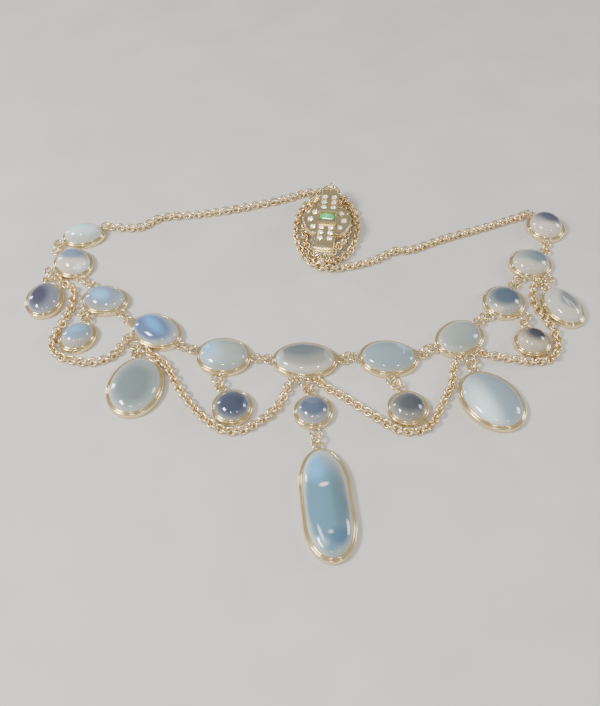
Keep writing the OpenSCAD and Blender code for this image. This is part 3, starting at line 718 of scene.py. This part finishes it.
def moonstone(name, c, milk, edge_light, patches):
    """The finish of one stone."""
    made, tree, shader = new_material(
        "moonstone_" + name, Roughness=0.1, IOR=1.53, Coat_Weight=0.4, Coat_Roughness=0.04,
        Subsurface_Weight=0.15, Subsurface_Scale=0.001,
    )
    half_l, half_w = c.length / 2 - UNDER_RIM, c.width / 2 - UNDER_RIM
    place = add_node(tree, "ShaderNodeTexCoord")
    split = add_node(tree, "ShaderNodeSeparateXYZ")
    tree.links.new(place.outputs["Object"], split.inputs["Vector"])
    flat = add_node(tree, "ShaderNodeCombineXYZ")
    tree.links.new(split.outputs["X"], flat.inputs["X"])
    tree.links.new(split.outputs["Y"], flat.inputs["Y"])
    above_rim = reckoned(tree, split.outputs["Z"], -RIM_H * MM)
    shift = reckoned(tree, above_rim, LAYER_SLANT, "MULTIPLY")
    along_layer = reckoned(tree, split.outputs["Y"], shift)
    slant = add_node(tree, "ShaderNodeCombineXYZ")
    tree.links.new(split.outputs["X"], slant.inputs["X"])
    tree.links.new(along_layer, slant.inputs["Y"])
    # Clouds shift the patches' edges a little
    cloud = add_node(tree, "ShaderNodeVectorMath", operation="MULTIPLY_ADD")
    tree.links.new(noise_at(tree, 260, output="Color"), cloud.inputs[0])
    cloud.inputs[1].default_value = (DRIFT * MM, DRIFT * MM, 0)
    cloud.inputs[2].default_value = (-DRIFT / 2 * MM, -DRIFT / 2 * MM, 0)
    drifted = add_node(tree, "ShaderNodeVectorMath", operation="ADD")
    tree.links.new(slant.outputs["Vector"], drifted.inputs[0])
    tree.links.new(cloud.outputs["Vector"], drifted.inputs[1])
    wisps = ramp(tree, noise_at(tree, 420, detail=4, distortion=0.8), (0.3, 0.0), (0.75, 0.3))
    pale = tuple(min(255, m + MILK_SPREAD) for m in milk)
    shade = tinted(tree, wisps, under_gloss(milk), under_gloss(pale))
    # Patches paint windows and clouds, and also painted sheen, highlights and reflections
    for p in patches:
        at = middle(name) + Vector((p.at[0], p.at[1], 0)) * half_w
        size = (p.size[0] * half_l, p.size[1] * half_w)
        out = out_from(tree, drifted.outputs["Vector"], at, size, c.turn + p.turn)
        inside = step_between(tree, out, 1 - p.soft / 2, 1 + p.soft / 2, p.strength, 0)
        shade = tinted(tree, inside, shade, under_gloss(p.tint))
    # Painted light: a pale glow all round the stone's edge, as strong as its edge_light
    rim = out_from(tree, flat.outputs["Vector"], middle(name), (half_l, half_w), c.turn)
    glow = step_between(tree, rim, GLOW_FROM, GLOW_FULL, 0, GLOW_MOST * edge_light)
    shade = tinted(tree, glow, shade, under_gloss(EDGE_GLOW))
    tree.links.new(shade, shader.inputs["Base Color"])
    return made


STONE_STEPS = 64
DOME_RINGS = 14
SEAT_Z = 0.5
GIRDLE_Z = 1.12
SHOULDER = 0.22
# The stone's underside slopes in by this much over this height, and its dome is a little
# fuller than a round one
BACK_IN = 0.15
BACK_UP = 0.2
FULLER_SIDE = 1.05
FULLER_TOP = 0.95
for name, c in COLLETS.items():
    girdle = c.width / 2 - UNDER_RIM
    rise = RIM_H + DOME_H * c.rise - GIRDLE_Z
    profile = [(0, SEAT_Z), (girdle - BACK_IN, SEAT_Z), (girdle, SEAT_Z + BACK_UP)]
    profile.append((girdle, GIRDLE_Z - SHOULDER / 2))
    for k in range(DOME_RINGS):
        turn = math.pi / 2 * k / DOME_RINGS
        x = (girdle - SHOULDER) * math.cos(turn) ** FULLER_SIDE
        profile.append((x, GIRDLE_Z + rise * math.sin(turn) ** FULLER_TOP))
    profile.append((0, GIRDLE_Z + rise))
    bm = bmesh.new()
    spun(bm, profile, STONE_STEPS)
    drawn_oval(bm, c, middle(name))
    stone = as_object("moonstone_" + name, bm, moonstone(name, c, *STONES[name]))
    finish_piece(stone, "moonstone", "stone_" + name)


# Jump rings. Bent from round wire and closed by hand, they stand half upright between two
# eyes, and hold the collets of the row together and the drops below them.
RING_WIRE_D = 0.48
# The chains' gold gets a little painted shade low down, near the table
chain_gold = gold("chain_gold", colour(255, 232, 182), colour(246, 216, 160), 0.25, 0.25)


def rolled(centre, bearing, roll, pitch=0):
    """The matrix of a ring that runs at a bearing and is rolled about its own run."""
    return (
        Matrix.Translation(centre)
        @ Matrix.Rotation(math.radians(bearing), 4, "Z")
        @ Matrix.Rotation(math.radians(pitch), 4, "Y")
        @ Matrix.Rotation(math.radians(roll), 4, "X")
    )


for kind in ("row", "drop"):
    bm = bmesh.new()
    for c in COLLETS.values():
        if c.on is None or c.kind != kind:
            continue
        along = (eyes_apart(c) + host_radius(c) - own_radius(c)) / 2
        centre = host_eye(c) + heading(c.head) * along + Vector((0, 0, ring_z))
        wire_ring(bm, ring_r, RING_WIRE_D / 2, rolled(centre, c.head, ROLL))
    finish_piece(as_object(kind + "_jump_rings", bm, chain_gold), "chain_gold", kind + "_rings")


# Swags. Each is a run of fine trace chain, round links of drawn wire that hang in the small
# eyes and lie in a loop below the row, each link leaning to the other side from the last.
LINK_D = 2.1
LINK_WIRE_D = 0.57
LINK_STEPS = 16
LINK_SIDES = 6
LINK_ROLL = 45
END_ROLL = 65
OVERLAP = 0.03
link_wire_r = LINK_WIRE_D / 2
link_r = LINK_D / 2 - link_wire_r


def link_middles(node):
    """The middles of a CAD node's loose links, in millimetres."""
    bm = bmesh.new()
    bm.from_mesh(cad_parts[node].data)
    bmesh.ops.remove_doubles(bm, verts=bm.verts, dist=SAME_SPOT * MM)
    found = []
    for part in loose_parts(bm):
        spread = list(zip(*(spot.co for spot in part)))
        low, high = Vector(map(min, spread)), Vector(map(max, spread))
        found.append((low + high) / 2 / MM)
    bm.free()
    return found


def in_order(spots, start):
    """Sorts places along a chain, from the one nearest to its start."""
    spots = list(spots)
    run = []
    here = start
    while spots:
        here = min(spots, key=lambda spot: (spot - here).length)
        spots.remove(here)
        run.append(here)
    return run


def chain(name, places, rolls, node):
    """Links at places, each rolled about its run and just touching the next."""
    sets = (bmesh.new(), bmesh.new())
    for k, place in enumerate(places):
        before, after = places[max(k - 1, 0)], places[min(k + 1, len(places) - 1)]
        run = after - before
        gaps = min(1, k) + min(1, len(places) - 1 - k)
        pitch = run.length / gaps
        stretch = (pitch + 2 * LINK_WIRE_D + OVERLAP) / 2 / (link_r + link_wire_r)
        climb = -math.degrees(math.atan2(run.z, math.hypot(run.x, run.y)))
        bearing = math.degrees(math.atan2(run.y, run.x))
        at = rolled(place, bearing, rolls[k], climb)
        wire_ring(sets[k % 2], link_r, link_wire_r, at, LINK_STEPS, LINK_SIDES, stretch)
    made = as_object(name, sets[0], chain_gold)
    fuse(made, [as_object("every_second_link", sets[1])])
    finish_piece(made, "chain_gold", node, sharp=65)


def alternate(count, roll):
    return [roll if k % 2 == 0 else -roll for k in range(count)]


SWAGS = {"swag_lo": ("dl4", 1), "swag_li": ("dl2", 1), "swag_ri": ("dc", 1), "swag_ro": ("dr2", 1)}
for name, start in SWAGS.items():
    places = in_order(link_middles(name), small_eye(*start) + Vector((0, 0, EYE_Z)))
    rolls = alternate(len(places), LINK_ROLL)
    rolls[0], rolls[-1] = END_ROLL, math.copysign(END_ROLL, rolls[-1])
    chain("trace_" + name, places, rolls, name)


# Back chains. The same trace chain runs from the last collet on each side to the clasp. The
# spare length of each is wound once round an oval under the clasp, and its end climbs over
# the other turns to the ring that joins it to the clasp.
COIL = Vector((5.2, 38.8, 0))
COIL_W = 16.4
COIL_L = 25.6
TURN_STEP = 2
WOUND = 345
TURN_POINTS = 16
CLIMB = 4
CURVE_STEPS = 8
CLASP_GAP = 0.12
CLASP_NEARER = 1
CLASP_LEAN = 6
LINK_PITCH = 1.17
LEAN_SPREAD = 9
STRIP_L = 19.6
STRIP_W = 4.4
STRIP_H = 2.0
BAIL_WIRE_D = 0.7
TONGUE_L = 1
TONGUE_T = 0.4
SLOT_Z = 0.35
HANG = 0.25
chain_z = link_r * math.sin(math.radians(LINK_ROLL)) + link_wire_r
top_chain_z = 3 * chain_z + CLASP_GAP
bail_r = (STRIP_W - BAIL_WIRE_D) / 2
tongue_eye_r = eye_radius(DROP_EYE_D)
# The clasp lies on both layers of the wound chain, and leans to the right
clasp_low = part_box("clasp_body")[0]
clasp_at = Vector((COIL.x, COIL.y - CLASP_NEARER, clasp_low.z / MM))
clasp_frame = Matrix.Translation(clasp_at) @ Matrix.Rotation(math.radians(-CLASP_LEAN), 4, "Z")
far_ring = Vector((0, STRIP_L / 2 + bail_r - HANG, STRIP_H / 2 - HANG))
near_ring = Vector((
    0, -STRIP_L / 2 - TONGUE_L - 2 * tongue_eye_r - HANG, SLOT_Z + CLASP_GAP + TONGUE_T - HANG
))
Way = namedtuple("Way", "collet bearing shares start end ring")
# A way's shares are along and across the line from its eye to where its winding starts
WAYS = {
    "back_chain_l": Way(
        "l5", 35,
        ((0.06, -0.03), (0.15, -0.04), (0.26, 0), (0.45, -0.02), (0.65, -0.02), (0.82, -0.01),
         (0.94, 0.01)),
        100, 1, far_ring,
    ),
    "back_chain_r": Way(
        "r5", 125,
        ((0.08, 0.02), (0.25, 0.01), (0.45, 0.01), (0.62, 0.02), (0.7, 0), (0.8, 0.02),
         (0.9, 0.02)),
        -80, -1, near_ring,
    ),
}


def wound_turns(start):
    """An oval spiral that closes in by a step each half turn."""
    for k in range(int(TURN_POINTS * WOUND / 360) + 1):
        turn = 360 * k / TURN_POINTS
        inward = TURN_STEP * turn / 180
        out = heading(start - turn)
        x = (COIL_W / 2 - inward) * out.x
        y = (COIL_L / 2 - inward) * out.y
        yield COIL + Vector((x, y, chain_z))


def smooth_curve(points):
    """A curve through chosen points, in short steps."""
    last = len(points) - 1
    for i in range(last):
        a, b, c, d = (points[min(max(i + k, 0), last)] for k in (-1, 0, 1, 2))
        slope, bow, twist = c - a, 2 * a - 5 * b + 4 * c - d, 3 * b - a - 3 * c + d
        for step in range(CURVE_STEPS):
            t = step / CURVE_STEPS
            yield b + (slope * t + bow * t**2 + twist * t**3) / 2
    yield points[last]


def even_places(points, pitch):
    """Places along a curve, evenly spaced at about the pitch."""
    fine = list(smooth_curve(points))
    run = [0]
    for a, b in zip(fine, fine[1:]):
        run.append(run[-1] + (b - a).length)
    count = round(run[-1] / pitch)
    places = []
    i = 0
    for k in range(count + 1):
        s = run[-1] * k / count
        while i < len(fine) - 2 and run[i + 1] < s:
            i += 1
        places.append(fine[i].lerp(fine[i + 1], (s - run[i]) / (run[i + 1] - run[i])))
    return places


random.seed(7)
for name, way in WAYS.items():
    eye = eye_on(way.collet, way.bearing, eye_radius(ROW_EYE_D))
    wound = list(wound_turns(way.start))
    line = wound[0] - eye
    across = Vector((-line.y, line.x, 0))
    path = [eye + along * line + aside * across for along, aside in way.shares]
    hang = eye_radius(ROW_EYE_D) - wire_r - link_wire_r - RING_GAP + link_r
    first = eye + (path[0] - eye).to_2d().normalized().to_3d() * hang + Vector((0, 0, EYE_Z))
    for k in range(1, len(wound)):
        up = max(0, k - len(wound) + 1 + CLIMB) / CLIMB
        wound[k].z = chain_z + up * (top_chain_z - chain_z)
    for spot in path:
        spot.z = chain_z
    ring = clasp_frame @ way.ring
    under = clasp_frame @ (way.ring - Vector((0, way.end * (ring_r + wire_r + RING_GAP), 0)))
    under.z = top_chain_z
    last = ring + (under - ring).normalized() * (ring_r - wire_r + link_r - link_wire_r)
    places = even_places([first] + path[1:] + wound + [under, last], LINK_PITCH)
    rolls = alternate(len(places), LINK_ROLL)
    rolls = [roll + random.uniform(-LEAN_SPREAD, LEAN_SPREAD) for roll in rolls]
    rolls[0] = END_ROLL
    chain("trace_" + name, places, rolls, name)

# Rings at the clasp. One stands in the bail at its far end and one in the tongue's eye, and
# each holds the last link of a back chain.
bm = bmesh.new()
for way in WAYS.values():
    upright = rolled(clasp_frame @ way.ring, 90 - CLASP_LEAN, 90)
    wire_ring(bm, ring_r, RING_WIRE_D / 2, upright)
finish_piece(as_object("clasp_end_rings", bm, chain_gold), "chain_gold", "chain_rings")


# Clasp. A strip of pale gold with raised edges crosses two round wings. It carries small
# white stones in rows, each in a sunk seat between four raised grains, with a green stone
# between two plain bars at its middle and a bail of stout wire at its far end.
WING_D = 11
WING_L = 9.4
WING_H = 1.4
BORDER = 0.4
BORDER_SLOPE = 0.06
BORDER_SOFTEN = 0.15
WING_BORDER = 0.5
SUNK = 0.3
GREEN_Y = 0.2
GREEN_L = 3.2
GREEN_W = 1.8
GREEN_SEAT = 0.8
GREEN_RISE = 0.35
BAR_Y = 1.82
BAR_W = 1.2
BAR_OVER = 0.1
BAR_RISE = 0.22
BAR_SOFTEN = 0.14
END_BAR = (STRIP_W - 0.2, 0.8, 0.5)
END_BAR_IN = 0.55
END_BAR_UP = 0.05
END_BAR_SOFTEN = 0.1
FENCE = (GREEN_L + 0.5, 0.2, 0.5)
RIDGE_W = 0.22
RIDGE_H = 0.4
FINE_SOFTEN = 0.05
SPARK_D = 1.2
SPARK_STEP = 1.75
SPARK_CROWN = 0.25
SPARK_GIRDLE = 0.06
SPARK_TABLE = 0.56
SPARK_CULET = 0.3
SPARK_DEPTH = 0.25
IN_FROM_WING = 1.4
FIRST_ROW = 3.3
WING_SPREAD = 38
SLOT_W = STRIP_W - 0.8
SLOT_H = 0.9
SLOT_L = 4
STONE_GAP = 0.05
plate_level = STRIP_H - SUNK
# Painted shade: the clasp's gold is darker on the sunk plate than on its raised border
clasp_gold = gold(
    "clasp_gold", colour(255, 238, 192), colour(248, 220, 162), 0.4, 0.19,
    clasp_at.z + plate_level, clasp_at.z + STRIP_H,
)
white_stone, tree, shader = new_material("white_stone", Roughness=0.05, IOR=1.9, Coat_Weight=1.0)
# Painted glints: the white stones' colour flickers at random between near white and white
glints = noise_at(tree, 2600, detail=2)
sparkle = ramp(tree, glints, (0.35, colour(234, 236, 238)), (0.6, colour(255, 255, 252)))
tree.links.new(sparkle, shader.inputs["Base Color"])


def block(size, centre, soften):
    """A block of gold on the clasp, with its edges softened."""
    bm = bmesh.new()
    bmesh.ops.create_cube(bm, size=1)
    bmesh.ops.scale(bm, vec=size, verts=bm.verts)
    bmesh.ops.bevel(
        bm, geom=bm.edges[:], offset=soften, segments=2, profile=0.5, affect="EDGES", material=-1
    )
    bmesh.ops.transform(bm, matrix=clasp_frame @ Matrix.Translation(centre), verts=bm.verts)
    return as_object("block", bm)


LEVEL_WITHIN = 1e-4


def dished(bm, height, border):
    """Sinks the top of a plate inside a raised border with softened edges."""
    tops = [f for f in bm.faces if f.calc_center_median().z > height - LEVEL_WITHIN]
    bmesh.ops.inset_region(bm, faces=tops, thickness=border, use_even_offset=True)
    bmesh.ops.inset_region(bm, faces=tops, thickness=BORDER_SLOPE, use_even_offset=True)
    bmesh.ops.translate(bm, vec=(0, 0, -SUNK), verts=list({v for f in tops for v in f.verts}))
    rims = [e for e in bm.edges if min(v.co.z for v in e.verts) > height - LEVEL_WITHIN]
    bmesh.ops.bevel(
        bm, geom=rims, offset=BORDER_SOFTEN, segments=3, profile=0.5, affect="EDGES", material=-1
    )


bm = bmesh.new()
bmesh.ops.create_cube(bm, size=1)
bmesh.ops.scale(bm, vec=(STRIP_W, STRIP_L, STRIP_H), verts=bm.verts)
bmesh.ops.translate(bm, vec=(0, 0, STRIP_H / 2), verts=bm.verts)
dished(bm, STRIP_H, BORDER)
bmesh.ops.transform(bm, matrix=clasp_frame, verts=bm.verts)
clasp = as_object("clasp_plaque", bm, clasp_gold, white_stone)

added = []
bm = bmesh.new()
bmesh.ops.create_cone(
    bm, cap_ends=True, segments=64, radius1=WING_D / 2, radius2=WING_D / 2, depth=WING_H
)
bmesh.ops.translate(bm, vec=(0, 0, WING_H / 2), verts=bm.verts)
for side in (1, -1):
    bmesh.ops.bisect_plane(
        bm, geom=bm.verts[:] + bm.edges[:] + bm.faces[:],
        plane_co=(0, side * WING_L / 2, 0), plane_no=(0, side, 0), clear_outer=True,
    )
    bmesh.ops.holes_fill(bm, edges=bm.edges, sides=0)
dished(bm, WING_H, WING_BORDER)
bmesh.ops.transform(bm, matrix=clasp_frame, verts=bm.verts)
added.append(as_object("wings", bm))

ROWS_L = 2 * SPARK_STEP + SPARK_D
bar_h = STRIP_H + BAR_RISE
for side in (1, -1):
    bar_at = (0, GREEN_Y + side * BAR_Y, bar_h / 2)
    added.append(block((STRIP_W + BAR_OVER, BAR_W, bar_h), bar_at, BAR_SOFTEN))
    fence_y = GREEN_Y + side * (GREEN_W / 2 + STONE_GAP + FENCE[1] / 2)
    added.append(block(FENCE, (0, fence_y, plate_level), FINE_SOFTEN))
    rows_y = GREEN_Y + side * (FIRST_ROW + SPARK_STEP)
    added.append(block((RIDGE_W, ROWS_L, RIDGE_H), (0, rows_y, plate_level), FINE_SOFTEN))
end_bar_at = (0, -STRIP_L / 2 + END_BAR_IN, plate_level + END_BAR_UP)
added.append(block(END_BAR, end_bar_at, END_BAR_SOFTEN))

sparks = []
for across in (1, -1):
    for along in (1, -1):
        for k in range(3):
            y = GREEN_Y + along * (FIRST_ROW + k * SPARK_STEP)
            sparks.append(Vector((across * STRIP_W / 4, y, plate_level)))
    for bearing in (-WING_SPREAD, 0, WING_SPREAD):
        out = heading(bearing) * (WING_D / 2 - IN_FROM_WING * SPARK_D)
        sparks.append(Vector((across * out.x, out.y, WING_H - SUNK)))
# A seat's section, from the stone's edge outward, and the grain of gold at each of its corners
SEAT = ((0, -0.3), (0.16, -0.3), (0.16, 0.03), (0.11, 0.1), (0.03, 0.1), (-0.02, 0.04), (0, -0.2))
SEAT_STEPS = 16
GRAIN_R = 0.15
GRAIN_OUT = 0.08
GRAIN_UP = 0.1
CROWN_SIDES = 8
for at in sparks:
    placed = clasp_frame @ Matrix.Translation(at)
    girdle = SPARK_D / 2
    bm = bmesh.new()
    section = [(0, SEAT[0][1])] + [(girdle + r, z) for r, z in SEAT[1:-1]] + [(0, SEAT[-1][1])]
    spun(bm, section, SEAT_STEPS)
    bmesh.ops.transform(bm, matrix=placed, verts=bm.verts)
    added.append(as_object("seat", bm))
    bm = bmesh.new()
    for corner in range(4):
        grain_at = heading(45 + 90 * corner) * (girdle + GRAIN_OUT) + Vector((0, 0, GRAIN_UP))
        ball = placed @ Matrix.Translation(grain_at)
        bmesh.ops.create_icosphere(bm, subdivisions=1, radius=GRAIN_R, matrix=ball)
    added.append(as_object("grains", bm))
    # The stone: a pavilion in the seat, a girdle, eight crown facets and a table
    bm = bmesh.new()
    table_z = SPARK_GIRDLE + SPARK_CROWN
    cut = (
        (0, -SPARK_DEPTH), (SPARK_CULET * girdle, -SPARK_DEPTH), (girdle, 0),
        (girdle, SPARK_GIRDLE), (SPARK_TABLE * girdle, table_z), (0, table_z),
    )
    spun(bm, cut, CROWN_SIDES)
    bmesh.ops.transform(bm, matrix=placed, verts=bm.verts)
    for face in bm.faces:
        face.material_index = 1
    added.append(as_object("spark", bm, clasp_gold, white_stone))

# The bail is a half round of wire on two legs let into the strip
BAIL_LEG = 1.1
BAIL_LEG_Y = -0.45
bm = bmesh.new()
upright = Matrix.Translation((bail_r, 0, 0)) @ Matrix.Rotation(math.radians(90), 4, "X")
bmesh.ops.create_circle(bm, cap_ends=True, segments=12, radius=BAIL_WIRE_D / 2, matrix=upright)
swept = bm.faces[:] + bm.edges[:] + bm.verts[:]
bmesh.ops.spin(bm, geom=swept, cent=(0, 0, 0), axis=(0, 0, 1), angle=math.pi, steps=24)
bmesh.ops.remove_doubles(bm, verts=bm.verts, dist=SAME_SPOT)
for side in (1, -1):
    leg = Matrix.Translation((side * bail_r, BAIL_LEG_Y, 0))
    leg = leg @ Matrix.Rotation(math.radians(90), 4, "X")
    bmesh.ops.create_cone(
        bm, cap_ends=True, segments=12, radius1=BAIL_WIRE_D / 2, radius2=BAIL_WIRE_D / 2,
        depth=BAIL_LEG, matrix=leg,
    )
bmesh.ops.transform(
    bm, matrix=clasp_frame @ Matrix.Translation((0, STRIP_L / 2, STRIP_H / 2)), verts=bm.verts
)
added.append(as_object("bail", bm))
fuse(clasp, added)

# The tongue's slot at the near end, and the green stone's seat
CUT_SOFTEN = 0.03
slot_at = (0, (SLOT_L - 1 - STRIP_L) / 2, SLOT_Z + SLOT_H / 2)
slot = block((SLOT_W, SLOT_L + 1, SLOT_H), slot_at, CUT_SOFTEN)
pocket_size = (GREEN_L + 2 * STONE_GAP, GREEN_W + 2 * STONE_GAP, 2 * GREEN_SEAT)
green_pocket = block(pocket_size, (0, GREEN_Y, STRIP_H), CUT_SOFTEN)
fuse(clasp, [slot, green_pocket], "DIFFERENCE")
finish_piece(clasp, "clasp_gold", "clasp_body", "clasp_white", sharp=28)


# Tongue. A strip of springy gold folded double, which snaps into the clasp's slot, with an
# eye of round wire at its outer end for the other back chain.
FOLD_ROUND = 0.26
tongue_w = SLOT_W - 2 * CLASP_GAP
tongue_long = SLOT_L - CLASP_GAP + TONGUE_L
fold_h = SLOT_H - 2 * CLASP_GAP
tongue_frame = clasp_frame @ Matrix.Translation((0, -STRIP_L / 2 - TONGUE_L, SLOT_Z + CLASP_GAP))
bm = bmesh.new()
side_view = ((0, 0), (tongue_long, 0), (tongue_long, TONGUE_T), (TONGUE_L, fold_h), (0, fold_h))
face = bm.faces.new([bm.verts.new((-tongue_w / 2, y, z)) for y, z in side_view])
pulled = bmesh.ops.extrude_face_region(bm, geom=[face])["geom"]
far_side = [part for part in pulled if isinstance(part, bmesh.types.BMVert)]
bmesh.ops.translate(bm, vec=(tongue_w, 0, 0), verts=far_side)
outer = [e for e in bm.edges if max(v.co.y for v in e.verts) < LEVEL_WITHIN]
folds = [e for e in outer if abs(e.verts[0].co.z - e.verts[1].co.z) < LEVEL_WITHIN]
bmesh.ops.bevel(
    bm, geom=folds, offset=FOLD_ROUND, segments=5, profile=0.5, affect="EDGES", material=-1
)
bmesh.ops.transform(bm, matrix=tongue_frame, verts=bm.verts)
tongue = as_object("folded_tongue", bm, clasp_gold)
bm = bmesh.new()
eye_place = tongue_frame @ Matrix.Translation((0, -tongue_eye_r, TONGUE_T))
wire_ring(bm, tongue_eye_r, EYE_WIRE_D / 2, eye_place)
fuse(tongue, [as_object("eye", bm)])
finish_piece(tongue, "clasp_gold", "clasp_tongue")


# Green stone. A small step-cut stone with its corners cut, let into the middle of the strip:
# an eight-sided girdle, two steps of crown facets and a table.
green_look, tree, shader = new_material("green_stone", Roughness=0.16, IOR=1.57, Coat_Weight=0.2)
depths = noise_at(tree, 900, detail=2)
depths = ramp(tree, depths, (0.35, colour(70, 196, 112)), (0.65, colour(120, 232, 156)))
tree.links.new(depths, shader.inputs["Base Color"])
bm = bmesh.new()
corner = GREEN_W / 4
half_l, half_w = GREEN_L / 2, GREEN_W / 2
outline = []
for side_x, side_y in ((1, 1), (-1, 1), (-1, -1), (1, -1)):
    pair = [
        (side_x * half_l, side_y * (half_w - corner)),
        (side_x * (half_l - corner), side_y * half_w),
    ]
    outline += pair if side_x == side_y else pair[::-1]
face = bm.faces.new([bm.verts.new((x, y, 0)) for x, y in outline])
GREEN_STEPS = ((GREEN_SEAT, 0), (GREEN_RISE * 0.45, 0.16), (GREEN_RISE * 0.4, 0.3))
for rise, shrink in GREEN_STEPS:
    # With its edges named too, the face that is pulled up leaves none behind inside
    pulled = bmesh.ops.extrude_face_region(bm, geom=[face, *face.edges])["geom"]
    face = next(part for part in pulled if isinstance(part, bmesh.types.BMFace))
    for v in face.verts:
        v.co.z += rise
        v.co.x -= math.copysign(shrink, v.co.x)
        v.co.y -= math.copysign(shrink, v.co.y)
seat_z = STRIP_H - GREEN_SEAT + STONE_GAP
seated = clasp_frame @ Matrix.Translation((0, GREEN_Y, seat_z))
bmesh.ops.transform(bm, matrix=seated, verts=bm.verts)
green = as_object("green_baguette", bm, green_look)
finish_piece(green, "green_stone", "clasp_green", sharp=8)
